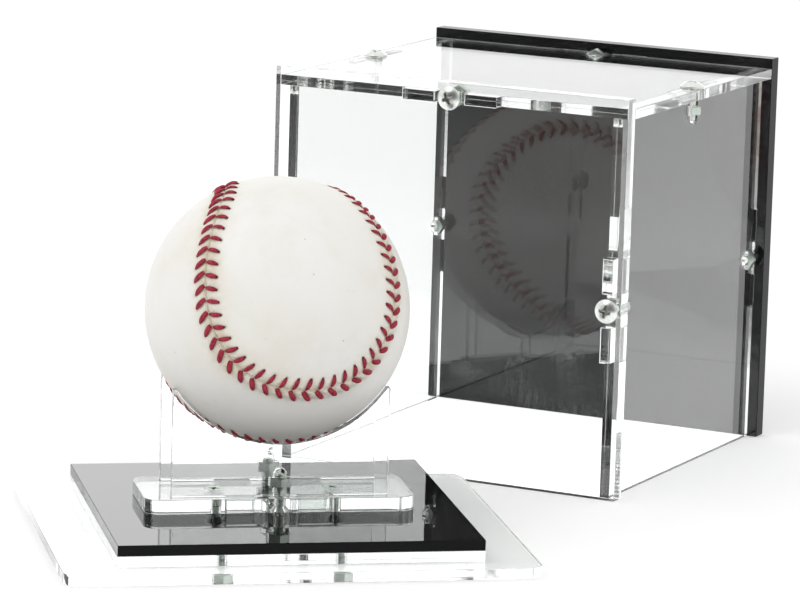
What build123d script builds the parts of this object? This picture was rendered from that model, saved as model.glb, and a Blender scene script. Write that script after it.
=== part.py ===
from build123d import *
import math
import os

# Base, millimetres: the origin is at the middle of the flange's underside
plinth_width = 100.0
plinth_depth = 100.0
plinth_clear_thickness = 3.0
plinth_black_thickness = 3.0
flange_side_rim = 15.0
flange_front_rim = 8.0
flange_thickness = 3.0
flange_corner_radius = 5.0
stand_side_margin = 7.5
stand_front_margin = 3.0
stand_thickness = 4.0
stand_corner_radius = 4.5
base_screw_spacing = 33.2
base_screw_length = 12.0

# Cradle
cradle_height = 30.0
cradle_thickness = 3.0
cradle_gap = 18.0
cradle_tip_width = 0.9
cradle_bolt_length = 10.0

# Ball: the seam's three turns are about Y, then X, then Z, in degrees
ball_diameter = 73.0
ball_lift = 13.65
ball_seat_clearance = 0.12
leather_thickness = 1.3
core_diameter = 35.0
seam_neck = 25.4
seam_turn_y = -28.4
seam_turn_x = -30.7
seam_turn_z = -48.9
seam_points = 48

# Cover: it stands beside the base, turned clockwise seen from above, near the flange's rear right corner
cover_headroom = 13.7
cover_fit_clearance = 0.5
cover_wall_thickness = 3.0
cover_front_thickness = 5.0
cover_back_thickness = 5.0
cover_top_thickness = 3.0
cover_side_overhang = 3.0
cover_top_overhang = 3.0
cover_turn = 37.5
cover_gap = 5.0
cover_slip = 64.2

# Tab and bolt joints of the cut sheets
tab_width = 10.0
tab_spacing = 20.0
tab_clearance = 0.1
air_film = 0.05
cover_bolt_room = 0.75
cradle_bolt_room = 1.75
nut_setback = 2.6

# M3 fasteners
thread_diameter = 3.0
bolt_clearance = 0.1
nut_width = 5.5
nut_thickness = 2.4
nut_clearance = 0.1
thread_clearance = 0.03
dome_head_diameter = 7.0
dome_head_height = 1.9
dome_head_rim = 0.4
end_bolt_length = 12.0
top_bolt_length = 10.0
bolt_tip_chamfer = 0.4
countersunk_diameter = 5.6

# Levels of the stacked base plates
plinth_clear_bottom = flange_thickness + air_film
plinth_black_bottom = plinth_clear_bottom + plinth_clear_thickness + air_film
stand_bottom = plinth_black_bottom + plinth_black_thickness + air_film
stand_top = stand_bottom + stand_thickness
cradle_bottom = stand_top + air_film
cradle_top = stand_top + cradle_height

# Ball and notch: the ball sits on the inner edges of the two notches
ball_radius = ball_diameter / 2
ball_centre = stand_top + ball_lift + ball_radius
seat_radius = math.sqrt(ball_radius**2 - (cradle_gap / 2) ** 2)
notch_radius = seat_radius + ball_seat_clearance
notch_half_width = math.sqrt(notch_radius**2 - (ball_centre - cradle_top) ** 2)

# Plans of the base plates
flange_width = plinth_width + 2 * flange_side_rim
flange_depth = plinth_depth + 2 * flange_front_rim
cradle_width = 2 * (notch_half_width + cradle_tip_width)
cradle_offset = (cradle_gap + cradle_thickness) / 2
stand_width = cradle_width + 2 * stand_side_margin
stand_depth = cradle_gap + 2 * (cradle_thickness + stand_front_margin)

# Cover outline, in the cover's own frame: x along the front, y from front to back
cover_width = plinth_width + 2 * (cover_fit_clearance + cover_wall_thickness + cover_side_overhang)
cover_inner_depth = plinth_depth + 2 * cover_fit_clearance
cover_depth = cover_front_thickness + cover_inner_depth + cover_back_thickness
cover_inner_height = ball_centre + ball_radius - flange_thickness + cover_headroom
cover_top_level = cover_inner_height + cover_top_thickness
cover_height = cover_top_level + cover_top_overhang
wall_height = cover_inner_height - air_film
sheet_depth = cover_inner_depth - 2 * air_film
sheet_front = cover_front_thickness + air_film
sheet_middle = cover_front_thickness + cover_inner_depth / 2
side_inset = cover_side_overhang + cover_wall_thickness / 2
side_places = {"left": side_inset, "right": cover_width - side_inset}
top_middle = cover_inner_height + cover_top_thickness / 2

# Where the cover stands: its front face lies cover_gap behind the flange's rounded corner
turn = math.radians(cover_turn)
along_front = Vector(math.cos(turn), -math.sin(turn))
into_cover = Vector(math.sin(turn), math.cos(turn))
flange_corner = Vector(flange_width / 2 - flange_corner_radius, flange_depth / 2 - flange_corner_radius)
cover_corner = flange_corner + into_cover * (flange_corner_radius + cover_gap) - along_front * cover_slip
cover_place = Location((cover_corner.X, cover_corner.Y, 0), (0, 0, -cover_turn))


def plate(outline, bottom, thickness):
    """A flat sheet cut to an outline, lying level."""
    return Pos(0, 0, bottom) * extrude(outline, thickness)


def rounded(width, depth, radius):
    return RectangleRounded(width, depth, radius)


def tab_pair(length):
    """The two tabs of one joint, standing out below an edge that lies on y = 0."""
    tab = Pos(0, -length / 2) * Rectangle(tab_width, length)
    return Pos(-tab_spacing / 2, 0) * tab + Pos(tab_spacing / 2, 0) * tab


def slot_pair(thickness):
    """The two openings that take a joint's tabs, in the sheet that they pass through."""
    opening = Rectangle(tab_width + 2 * tab_clearance, thickness + 2 * tab_clearance)
    return Pos(-tab_spacing / 2, 0) * opening + Pos(tab_spacing / 2, 0) * opening


def tee_slot(reach, room):
    """The slot for a nut and for a bolt that reaches in so far, cut inwards from an edge that lies on y = 0."""
    radius = thread_diameter / 2 + bolt_clearance
    straight = reach + room - radius
    stem = Pos(0, straight / 2) * Rectangle(2 * radius, straight)
    end = Pos(0, straight) * Circle(radius)
    pocket_width = nut_width + 2 * nut_clearance
    pocket_height = nut_thickness + 2 * nut_clearance
    pocket = Pos(0, nut_setback + nut_thickness / 2) * Rectangle(pocket_width, pocket_height)
    return stem + end + pocket


def cover_slot(outer_thickness, bolt_length=end_bolt_length):
    return tee_slot(bolt_length - outer_thickness - air_film, cover_bolt_room)


def bolt_hole():
    return Circle(thread_diameter / 2 + bolt_clearance)


def joint_opening(thickness):
    """What one joint cuts through the outer sheet: two tab openings and a bolt hole."""
    return slot_pair(thickness) + bolt_hole()


def hexagon(clearance=0.0):
    """The outline of a nut or of its pocket, with two flats facing along X."""
    return RegularPolygon(nut_width / 2 + clearance, 6, major_radius=False, rotation=90)


def nut():
    bore = Circle(thread_diameter / 2 + thread_clearance)
    return extrude(hexagon() - bore, nut_thickness)


def threaded_shank(length):
    """A plain shank that runs down from z = 0 to a chamfered tip."""
    rod = Pos(0, 0, -length) * extrude(Circle(thread_diameter / 2), length)
    return chamfer(rod.edges().sort_by(Axis.Z)[0], bolt_tip_chamfer)


def dome_bolt(length):
    """A bolt on the Z axis: the shank runs down from z = 0, the domed head stands on it."""
    radius = dome_head_diameter / 2
    rise = dome_head_height - dome_head_rim
    side = Polyline((0, dome_head_height), (0, 0), (radius, 0), (radius, dome_head_rim))
    bulge = (rise**2 + radius**2) / (2 * rise)
    half = math.asin(radius / bulge) / 2
    centre = dome_head_height - bulge
    middle = (bulge * math.sin(half), centre + bulge * math.cos(half))
    dome = ThreePointArc((radius, dome_head_rim), middle, (0, dome_head_height))
    head = revolve(Plane.XZ * make_face([*side.edges(), dome]), Axis.Z)
    return head + threaded_shank(length)


def countersink(clearance=0.0):
    """A flat head whose face is at z = 0 and whose cone narrows down to the shank, or what it cuts."""
    head_radius = countersunk_diameter / 2 + clearance
    shank_radius = thread_diameter / 2 + clearance
    height = head_radius - shank_radius
    return Pos(0, 0, -height / 2) * Cone(shank_radius, head_radius, height)


def countersunk_screw(length):
    """A flat-head screw on the Z axis, its head's face at z = 0 and its shank running down."""
    return countersink() + threaded_shank(length)


def countersunk_hole(depth):
    return countersink(bolt_clearance) + Pos(0, 0, -depth) * extrude(bolt_hole(), depth)


def flange_plate():
    pockets = [Pos(x, 0) * hexagon(nut_clearance) for x in base_screw_places]
    return plate(rounded(flange_width, flange_depth, flange_corner_radius) - pockets, 0, flange_thickness)


def plinth_plate(bottom, thickness):
    holes = [Pos(x, 0) * bolt_hole() for x in base_screw_places]
    return plate(Rectangle(plinth_width, plinth_depth) - holes, bottom, thickness)


def stand_plate():
    outline = rounded(stand_width, stand_depth, stand_corner_radius)
    openings = [Pos(0, y) * slot_pair(cradle_thickness) for y in cradle_places.values()]
    solid = plate(outline - openings, stand_bottom, stand_thickness)
    sunk = countersunk_hole(stand_thickness)
    from_above = [Pos(x, 0, stand_top) * sunk for x in base_screw_places]
    from_below = [Pos(0, y, stand_bottom) * Rot(X=180) * sunk for y in cradle_places.values()]
    return solid - from_above - from_below


def cradle_plate(y):
    """An upright sheet with a round notch, on two tabs that go down through the stand."""
    height = cradle_top - cradle_bottom
    sheet = Pos(0, height / 2) * Rectangle(cradle_width, height)
    notch = Pos(0, ball_centre - cradle_bottom) * Circle(notch_radius)
    slot = tee_slot(cradle_bolt_length - stand_thickness - air_film, cradle_bolt_room)
    outline = sheet + tab_pair(stand_thickness + air_film) - notch - slot
    upright = Pos(0, y + cradle_thickness / 2, cradle_bottom) * Rot(X=90)
    return upright * extrude(outline, cradle_thickness)


def seam_curve(radius):
    """The closed seam on a sphere of the given radius, about the ball's own centre."""
    neck = seam_neck * radius / ball_radius
    wide = (radius + neck / 2) / 2
    narrow = (radius - neck / 2) / 2
    height = 2 * math.sqrt(wide * narrow)
    turns = [2 * math.pi * i / seam_points for i in range(seam_points)]
    points = [
        (
            wide * math.cos(t) + narrow * math.cos(3 * t),
            wide * math.sin(t) - narrow * math.sin(3 * t),
            height * math.sin(2 * t),
        )
        for t in turns
    ]
    return Spline(points, periodic=True)


def ball_cover_halves():
    """The two leather pieces, cut from one shell by a wall that runs along the seam."""
    shell = Sphere(ball_radius) - Sphere(ball_radius - leather_thickness)
    inner = seam_curve(ball_radius - 2 * leather_thickness)
    outer = seam_curve(ball_radius + leather_thickness)
    wall = Face.make_surface_from_curves(inner.edge(), outer.edge())
    halves = split(shell, bisect_by=wall, keep=Keep.BOTH).solids()
    seat = Pos(0, 0, ball_centre) * Rot(Z=seam_turn_z) * Rot(X=seam_turn_x) * Rot(Y=seam_turn_y)
    return [seat * half for half in halves]


def upright_sheet(outline, thickness):
    """A sheet drawn in x and z that stands upright, its front face on y = 0."""
    return Pos(0, thickness, 0) * Rot(X=90) * extrude(outline, thickness)


def end_panel(thickness):
    """The front or back panel: one joint for each side panel and one for the top."""
    outline = Pos(cover_width / 2, cover_height / 2) * Rectangle(cover_width, cover_height)
    beside = [Pos(x, wall_height / 2) * Rot(Z=90) * joint_opening(cover_wall_thickness) for x in side_places.values()]
    above = Pos(cover_width / 2, top_middle) * joint_opening(cover_top_thickness)
    return upright_sheet(outline - beside - above, thickness)


def side_panel(x):
    """A side panel, drawn flat from front to back, with tabs into the front, the back and the top."""
    sheet = Pos(sheet_depth / 2, wall_height / 2) * Rectangle(sheet_depth, wall_height)
    front = Pos(0, wall_height / 2) * Rot(Z=-90)
    back = Pos(sheet_depth, wall_height / 2) * Rot(Z=90)
    above = Pos(sheet_depth / 2, wall_height) * Rot(Z=180)
    outline = sheet + front * tab_pair(cover_front_thickness + air_film)
    outline += back * tab_pair(cover_back_thickness + air_film)
    outline += above * tab_pair(cover_top_thickness + air_film)
    outline -= front * cover_slot(cover_front_thickness)
    outline -= back * cover_slot(cover_back_thickness)
    outline -= above * cover_slot(cover_top_thickness, top_bolt_length)
    standing = Pos(x - cover_wall_thickness / 2, sheet_front, 0) * Rot(Z=90) * Rot(X=90)
    return standing * extrude(outline, cover_wall_thickness)


def top_panel():
    sheet = Pos(cover_width / 2, sheet_middle) * Rectangle(cover_width, sheet_depth)
    front = Pos(cover_width / 2, sheet_front)
    back = Pos(cover_width / 2, sheet_front + sheet_depth) * Rot(Z=180)
    outline = sheet + front * tab_pair(cover_front_thickness + air_film)
    outline += back * tab_pair(cover_back_thickness + air_film)
    outline -= front * cover_slot(cover_front_thickness)
    outline -= back * cover_slot(cover_back_thickness)
    outline -= [Pos(x, sheet_middle) * Rot(Z=90) * joint_opening(cover_wall_thickness) for x in side_places.values()]
    return plate(outline, cover_inner_height, cover_top_thickness)


def end_joints(y, outward):
    """The places of an end panel's three joints: Z points out of the cover, X along the joint's tabs."""
    face = Rot(X=90) if outward < 0 else Rot(X=-90)
    upright = [Pos(x, y, wall_height / 2) * face * Rot(Z=90) for x in side_places.values()]
    level = Pos(cover_width / 2, y, top_middle) * face
    return [*upright, level]


def top_joints(z):
    return [Pos(x, sheet_middle, z) * Rot(Z=90) for x in side_places.values()]


def joint_nut(thickness):
    """A nut behind an outer sheet of the given thickness, whose outside is at z = 0."""
    return Pos(0, 0, -thickness - air_film - nut_setback - nut_thickness) * nut()


base_screw_places = (-base_screw_spacing / 2, base_screw_spacing / 2)
cradle_places = {"front": -cradle_offset, "rear": cradle_offset}

nodes = {
    "flange_plate": flange_plate(),
    "plinth_clear_plate": plinth_plate(plinth_clear_bottom, plinth_clear_thickness),
    "plinth_black_plate": plinth_plate(plinth_black_bottom, plinth_black_thickness),
    "stand_plate": stand_plate(),
}

# Cradle plates with their bolts and nuts
for name, y in cradle_places.items():
    nodes[f"cradle_{name}_plate"] = cradle_plate(y)
cradle_bolt = Rot(X=180) * countersunk_screw(cradle_bolt_length)
nodes["cradle_bolts"] = [Pos(0, y, stand_bottom) * cradle_bolt for y in cradle_places.values()]
nodes["cradle_nuts"] = [Pos(0, y, cradle_bottom + nut_setback) * nut() for y in cradle_places.values()]

# Screws and nuts that hold the plates together
base_screw = countersunk_screw(base_screw_length)
nodes["base_screws"] = [Pos(x, 0, stand_top) * base_screw for x in base_screw_places]
nodes["base_nuts"] = [Pos(x, 0, flange_thickness - nut_thickness) * nut() for x in base_screw_places]

# Ball
winding_radius = ball_radius - leather_thickness - air_film
core = Sphere(core_diameter / 2)
winding = Sphere(winding_radius) - Sphere(core_diameter / 2 + air_film)
nodes["ball_cover_a"], nodes["ball_cover_b"] = ball_cover_halves()
nodes["ball_winding"] = Pos(0, 0, ball_centre) * winding
nodes["ball_core"] = Pos(0, 0, ball_centre) * core

# Cover panels
back_face = cover_depth - cover_back_thickness
cover = {
    "cover_front_panel": end_panel(cover_front_thickness),
    "cover_back_panel": Pos(0, back_face, 0) * end_panel(cover_back_thickness),
    "cover_top_panel": top_panel(),
}
for name, x in side_places.items():
    cover[f"cover_{name}_panel"] = side_panel(x)

# Cover bolts and nuts
joints = {
    "front": (end_joints(0, -1), cover_front_thickness, end_bolt_length),
    "back": (end_joints(cover_depth, 1), cover_back_thickness, end_bolt_length),
    "top": (top_joints(cover_top_level), cover_top_thickness, top_bolt_length),
}
for name, (places, thickness, bolt_length) in joints.items():
    cover[f"{name}_joint_bolts"] = [place * dome_bolt(bolt_length) for place in places]
    cover[f"{name}_joint_nuts"] = [place * joint_nut(thickness) for place in places]

for name, shape in cover.items():
    if isinstance(shape, list):
        nodes[name] = [cover_place * piece for piece in shape]
    else:
        nodes[name] = cover_place * shape

os.makedirs("parts", exist_ok=True)
for name, shape in nodes.items():
    export_step(Compound(shape) if isinstance(shape, list) else shape, f"parts/{name}.step")
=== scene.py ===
"""The looks of the baseball display case: clear and black sheets, fasteners, ball and studio."""
import math

import bmesh
import bpy
import numpy as np
from bpy.props import FloatProperty, FloatVectorProperty, IntProperty, PointerProperty
from mathutils import Matrix, Vector, kdtree


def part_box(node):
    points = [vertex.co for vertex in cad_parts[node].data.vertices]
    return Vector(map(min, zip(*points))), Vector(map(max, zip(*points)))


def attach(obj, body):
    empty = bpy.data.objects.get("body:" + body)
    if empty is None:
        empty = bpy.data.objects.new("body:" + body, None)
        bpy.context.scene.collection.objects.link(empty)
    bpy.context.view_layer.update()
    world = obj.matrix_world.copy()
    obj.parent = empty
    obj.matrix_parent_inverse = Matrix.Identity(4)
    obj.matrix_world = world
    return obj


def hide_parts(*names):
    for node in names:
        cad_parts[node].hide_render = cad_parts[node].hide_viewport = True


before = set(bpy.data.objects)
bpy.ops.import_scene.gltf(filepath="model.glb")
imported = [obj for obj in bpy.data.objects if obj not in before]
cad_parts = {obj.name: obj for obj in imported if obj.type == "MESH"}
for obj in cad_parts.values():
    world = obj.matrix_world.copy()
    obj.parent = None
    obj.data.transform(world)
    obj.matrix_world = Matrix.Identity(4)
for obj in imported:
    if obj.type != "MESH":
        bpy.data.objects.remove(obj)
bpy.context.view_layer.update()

bl_info = {
    "name": "Baseball display case",
    "version": (1, 0, 0),
    "blender": (4, 5, 0),
    "location": "View3D > Sidebar > Display case",
    "description": "Dresses the display case's solids with sheets, fasteners, a stitched ball and a studio",
    "category": "Object",
}

MM = 0.001

# The cover stands turned clockwise, seen from above
COVER_TURN = math.radians(-37.5)
COVER_ACROSS = Vector((math.cos(COVER_TURN), math.sin(COVER_TURN), 0))
COVER_DEEP = Vector((-math.sin(COVER_TURN), math.cos(COVER_TURN), 0))
SIDEWAYS = Vector((1, 0, 0))
BACKWARDS = Vector((0, 1, 0))
UP = Vector((0, 0, 1))

# Each cut sheet's body and the direction through its thickness, by slot
SHEETS = {
    "clear_acrylic": {
        "flange_plate": ("base", UP),
        "plinth_clear_plate": ("base", UP),
        "stand_plate": ("base", UP),
        "cradle_front_plate": ("base", BACKWARDS),
        "cradle_rear_plate": ("base", BACKWARDS),
        "cover_front_panel": ("cover", COVER_DEEP),
        "cover_left_panel": ("cover", COVER_ACROSS),
        "cover_right_panel": ("cover", COVER_ACROSS),
        "cover_top_panel": ("cover", UP),
    },
    "black_acrylic": {
        "plinth_black_plate": ("base", UP),
        "cover_back_panel": ("cover", COVER_DEEP),
    },
}

# The cover's outer sheets that bolts go through, and the direction out of each
COVER_JOINTS = {"front": -COVER_DEEP, "back": COVER_DEEP, "top": UP}

# Fasteners: thread, domed head and flat head; a recess is half a width, half a length and a depth
THREAD_RADIUS, THREAD_PITCH, THREAD_DEPTH = 1.5 * MM, 0.5 * MM, 0.22 * MM
DOME_RADIUS, DOME_RISE, DOME_RIM = 3.5 * MM, 1.5 * MM, 0.4 * MM
DOME_RECESS = 0.42 * MM, 1.9 * MM, 1.25 * MM
FLAT_RADIUS, FLAT_HEAD = 2.8 * MM, 1.2 * MM
FLAT_RECESS = 0.38 * MM, 1.55 * MM, 1.0 * MM
SHANK_SIDES, HEAD_SIDES, HEAD_RINGS, NUT_SIDES = 16, 40, 22, 48

# The ball's seam in radians: its swings up and down, its swing along, and how it is turned
SEAM_SWING, SEAM_SWING_THIRD, SEAM_SWAY = 1.205, -0.0452, 0.4066
SEAM_TURNS = (("Z", 3.261), ("X", -2.4469), ("Y", 3.2252))

# How many places of the seam distances are measured from, and the side of it where the straight legs lie
SEAM_STEPS, STRAIGHT_SIDE = 5400, 1

# How far from the seam the leather's mesh is fine, its corners move onto the seam, and dirt and the painted
# shade of folds reach
FINE_REACH, SNAP_REACH, DIRT_AND_SHADE_REACH = 5.2 * MM, 0.17 * MM, 3.5 * MM

# The leather beside the seam: the groove, the lips, the ripples that the stitches pull, and their holes
GROOVE_WIDTH = 0.3 * MM
LIP_PLACE, LIP_WIDTH = 1.7 * MM, 1.3 * MM
RIPPLE_DEPTH, RIPPLE_REACH, RIPPLE_FADE = 0.09 * MM, 3 * MM, 1.2 * MM
HOLE_DEPTH, HOLE_WIDTH = 0.35 * MM, 0.36 * MM

# The camera that the photograph fits: focal length in picture widths, place, and turns in radians
CAMERA_FOCAL = 5057.41 / 800
CAMERA_PLACE = Vector((-0.232119, -1.347028, 0.324032))
CAMERA_TURNS = (("Z", -0.195277), ("X", math.pi / 2 - 0.186412), ("Z", 0.029698))

# The side the camera stands on; the room is dim there, but only as the object mirrors it
FRONT_SIDE = Vector((-0.5, -0.86, 0.1))

# The floor, and its glow through clear sheets: strongest out to the near distance, weaker from the far one
FLOOR_HALF, FLOOR_LEVEL = 6.0, -0.2 * MM
GLOW_CENTRE, GLOW_NEAR, GLOW_FAR = (0.05, 0.05, 0.0), 0.2, 0.32
LIGHT_BOUNCES = 64


def length_value(name, default, description):
    """A length that a user may change."""
    return FloatProperty(name=name, description=description, default=default, min=0, unit="LENGTH")


def colour_value(name, default, description):
    """A colour that a user may change."""
    return FloatVectorProperty(
        name=name, description=description, default=default, subtype="COLOR", size=3, min=0, max=1)


class CaseSizes(bpy.types.PropertyGroup):
    """Sizes of the details that the solids leave out."""

    edge_break: length_value("Edge break", 0.15 * MM, "Width of the small bevel along each sheet's edges")
    stitch_count: IntProperty(
        name="Stitches", description="Pairs of legs round the whole seam, a straight and a slanted one each",
        default=111, min=8)
    stitch_start: FloatProperty(
        name="Stitch start", description="Where the first pair lies, as a share of the spacing",
        default=0.65, min=0, max=1, subtype="FACTOR")
    straight_reach: length_value("Straight reach", 3.7 * MM, "How far the straight leg goes from the seam")
    straight_slant: length_value("Straight slant", 1.3 * MM, "How far the straight leg runs along the seam")
    slanted_reach: length_value("Slanted reach", 3.5 * MM, "How far the slanted leg goes from the seam")
    slanted_slant: length_value("Slanted slant", 1.8 * MM, "How far the slanted leg runs along the seam")
    thread_width: length_value("Thread width", 1.5 * MM, "Width of the doubled thread at its widest")
    lip_height: length_value("Lip height", 0.45 * MM, "How far the leather stands up beside the seam")
    pinch: FloatProperty(
        name="Pinch", description="Share of the lip that each stitch pulls down", default=0.75, min=0, max=1,
        subtype="FACTOR")
    groove_depth: length_value("Groove depth", 0.5 * MM, "Depth of the groove where the two covers meet")


class CaseColours(bpy.types.PropertyGroup):
    """Colours of the finishes."""

    clear_tint: colour_value("Clear sheet", (0.955, 0.966, 0.961), "Tint of the clear acrylic")
    black_sheet: colour_value("Black sheet", (0.006, 0.006, 0.007), "Colour of the black acrylic")
    leather: colour_value("Leather", (0.90, 0.889, 0.862), "Colour of the ball's leather")
    thread: colour_value("Thread", (0.36, 0.016, 0.04), "Colour of the stitching")
    zinc: colour_value("Zinc", (0.90, 0.92, 0.88), "Colour of the plated domed bolts")
    dull_zinc: colour_value("Dull zinc", (0.58, 0.65, 0.59), "Colour of the nuts and the countersunk screws")
    floor: colour_value("Floor", (0.88, 0.88, 0.88), "Colour of the studio floor")


class Tree:
    """Adds nodes to one tree and links them."""

    def __init__(self, tree, owner=None):
        self.nodes, self.links, self.owner = tree.nodes, tree.links, owner
        self.nodes.clear()

    def add(self, kind, *values, out=0, **settings):
        """A node with its settings; values fill its inputs in order, and other words name an input."""
        node = self.nodes.new(kind)
        named = [key for key in settings if not hasattr(node, key)]
        for key, value in settings.items():
            if key not in named:
                setattr(node, key, value)
        for place, value in enumerate(values):
            self.put(node.inputs[place], value)
        for key in named:
            self.put(node.inputs[key.replace("_", " ")], settings[key])
        return node.outputs[out] if len(node.outputs) else None

    def put(self, socket, value):
        """Link a socket or give it a value; None leaves it as it is."""
        if isinstance(value, bpy.types.NodeSocket):
            self.links.new(value, socket)
        elif value is not None:
            socket.default_value = value

    def math(self, how, *values):
        return self.add("ShaderNodeMath", *values, operation=how)

    def times(self, a, b):
        return self.math("MULTIPLY", a, b)

    def plus(self, a, b):
        return self.math("ADD", a, b)

    def most(self, a, b):
        return self.math("MAXIMUM", a, b)

    def range(self, value, low, high, to_low=0.0, to_high=1.0):
        return self.add("ShaderNodeMapRange", value, low, high, to_low, to_high)

    def noise(self, where, scale, detail=3.0, rough=0.6):
        return self.add("ShaderNodeTexNoise", Vector=where, Scale=scale, Detail=detail, Roughness=rough)

    def cells(self, where, scale):
        """The distance from the nearest of many scattered points."""
        return self.add("ShaderNodeTexVoronoi", Vector=where, Scale=scale, out="Distance")

    def attribute(self, name, out="Fac"):
        return self.add("ShaderNodeAttribute", out=out, attribute_name=name)

    def dot(self, a, b):
        return self.add("ShaderNodeVectorMath", a, b, operation="DOT_PRODUCT", out="Value")

    def ramp(self, value, low, high):
        """A colour ramp between two (place, colour) stops."""
        node = self.nodes.new("ShaderNodeValToRGB")
        for point, (place, colour) in zip(node.color_ramp.elements, (low, high)):
            point.position = place
            point.color = (*colour, 1)
        self.put(node.inputs[0], value)
        return node.outputs[0]

    def mix(self, share, a, b):
        """A colour between two others."""
        node = self.nodes.new("ShaderNodeMix")
        node.data_type = "RGBA"
        for key, value in (("Factor", share), ("A", a), ("B", b)):
            self.put(node.inputs[key], value)
        return node.outputs["Result"]

    def bump(self, height, strength, distance, normal=None):
        return self.add(
            "ShaderNodeBump", Height=height, Strength=strength, Distance=distance, Normal=normal)

    def principled(self, base, rough, **settings):
        return self.add(
            "ShaderNodeBsdfPrincipled", Base_Color=base, Roughness=rough, out="BSDF", **settings)

    def finish(self, shader):
        """The material, which the shader ends."""
        self.add("ShaderNodeOutputMaterial", Surface=shader)
        return self.owner


def shade(colour, *shares):
    """A colour as a socket takes it, times one share or a share for each channel, or as it is."""
    shares = shares * 3 if len(shares) == 1 else shares or (1, 1, 1)
    return (*(c * k for c, k in zip(colour, shares)), 1.0)


def shader_tree(name):
    """The tree of a new material and its object coordinates."""
    made = bpy.data.materials.new(name)
    made.use_nodes = True
    tree = Tree(made.node_tree, made)
    return tree, tree.add("ShaderNodeTexCoord", out="Object")


def clear_material(name, tint, cut_edge=False):
    """Clear acrylic: polished faces with faint smears and dust, or the finely ribbed face of a cut edge."""
    tree, where = shader_tree(name)
    if cut_edge:
        along = tree.attribute("in_sheet", "Vector")
        ribs = tree.noise(along, 1500.0, 2.0)
        waves = tree.noise(along, 240.0, 2.0, 0.5)
        normal = tree.bump(tree.plus(ribs, waves), 0.12, 0.1 * MM)
        rough = tree.range(waves, 0.35, 0.7, 0.02, 0.09)
    else:
        smear = tree.noise(where, 38.0, 4.0, 0.65)
        dust = tree.range(tree.cells(where, 420.0), 0.0, 0.06, 0.12, 0.0)
        normal = None
        rough = tree.most(tree.range(smear, 0.66, 0.85, 0.0, 0.03), dust)
    glass = tree.principled(shade(tint), rough, IOR=1.49, Transmission_Weight=1.0, Normal=normal)
    lets_by = tree.add("ShaderNodeBsdfTransparent", Color=shade([math.sqrt(c) for c in tint]))
    shadow = tree.add("ShaderNodeLightPath", out="Is Shadow Ray")
    return tree.finish(tree.add("ShaderNodeMixShader", shadow, glass, lets_by))


def black_material(name, colour, cut_edge=False):
    """Gloss black acrylic with faint smears and dust; a cut edge is duller."""
    tree, where = shader_tree(name)
    smear = tree.noise(where, 30.0, 4.0)
    dust = tree.range(tree.cells(where, 380.0), 0.0, 0.05, 1.0, 0.0)
    if cut_edge:
        rough = tree.range(smear, 0.3, 0.8, 0.12, 0.3)
    else:
        rough = tree.most(tree.range(smear, 0.6, 0.85, 0.0, 0.04), tree.times(dust, 0.2))
    base = tree.mix(tree.times(dust, 0.25), shade(colour), (0.5, 0.5, 0.5, 1))
    return tree.finish(tree.principled(base, rough, IOR=1.52, Specular_IOR_Level=0.08 if cut_edge else 0.5))


def zinc_material(name, colour):
    """Plated steel, slightly mottled, with fine turning marks and painted shade in the recesses."""
    tree, where = shader_tree(name)
    mottle = tree.noise(where, 900.0)
    marks = tree.noise(where, 6000.0, 2.0, 0.7)
    base = tree.mix(tree.range(mottle, 0.3, 0.7), shade(colour, 0.82), shade(colour))
    # Painted shade: the crossed recesses are darkened as shade would fall in them.
    base = tree.mix(tree.times(tree.attribute("recess"), 0.8), base, shade(colour, 0.32))
    rough = tree.range(marks, 0.3, 0.7, 0.22, 0.4)
    return tree.finish(tree.principled(base, rough, Metallic=1.0, Normal=tree.bump(marks, 0.15, 0.03 * MM)))


def leather_material(name, colour):
    """White leather with pores, creases, scuffs and stains; along the seam lie dirt, and painted shade in
    folds and holes.
    """
    tree, where = shader_tree(name)
    near, hole, hollow_shade = (tree.attribute(key) for key in ("near_seam", "hole", "hollow_shade"))
    cloud = tree.noise(where, 32.0, 4.0)
    blot = tree.noise(where, 70.0, 4.0, 0.65)
    crease = tree.noise(where, 120.0, 3.0, 0.5)
    scuff = tree.noise(where, 210.0, 5.0, 0.7)
    folds = tree.noise(where, 420.0, 3.0, 0.55)
    fleck = tree.noise(where, 620.0)
    grain = tree.noise(where, 900.0, 4.0)

    warm = shade(colour, 0.975, 0.958, 0.915)
    base = tree.mix(tree.range(cloud, 0.35, 0.7), shade(colour), warm)
    base = tree.mix(tree.range(scuff, 0.66, 0.8, 0.0, 0.35), base, shade(colour, 0.72))
    # Painted shade: the thread holes are painted near black, as the shade inside them.
    base = tree.mix(tree.times(hole, 0.93), base, (0.03, 0.016, 0.018, 1))
    # Painted shade: the leather is darkened in the low parts of its folds and where the stitches pull it
    # down, as shade would fall there.
    fold_shade = tree.times(near, tree.range(folds, 0.42, 0.57, 0.65, 0.0))
    base = tree.mix(tree.most(fold_shade, tree.times(hollow_shade, 0.58)), base, shade(colour, 0.74, 0.69, 0.60))

    grime = tree.times(near, tree.range(scuff, 0.42, 0.64, 0.18, 0.75))
    stain = tree.times(tree.range(blot, 0.48, 0.66, 0.0, 0.72), tree.range(near, 0.0, 0.5, 0.14, 1.0))
    specks = tree.times(tree.range(fleck, 0.54, 0.64), near)
    spots = tree.times(specks, tree.range(blot, 0.40, 0.56, 0.25, 1.0))
    joint = tree.times(tree.math("POWER", near, 60.0), 0.45)
    dirt = tree.most(tree.most(grime, stain), tree.most(spots, joint))
    base = tree.mix(dirt, base, shade(colour, 0.72, 0.61, 0.42))
    dots = tree.range(tree.cells(where, 110.0), 0.02, 0.035, 0.5, 0.0)
    base = tree.mix(dots, base, shade(colour, 0.5, 0.4, 0.26))

    pores = tree.times(tree.cells(where, 1500.0), 0.5)
    puckered = tree.bump(tree.times(near, folds), 0.9, 1.4 * MM)
    normal = tree.bump(tree.plus(pores, tree.plus(grain, crease)), 0.25, 0.12 * MM, puckered)
    return tree.finish(tree.principled(base, tree.range(grain, 0.3, 0.7, 0.42, 0.6), IOR=1.45, Normal=normal))


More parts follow.
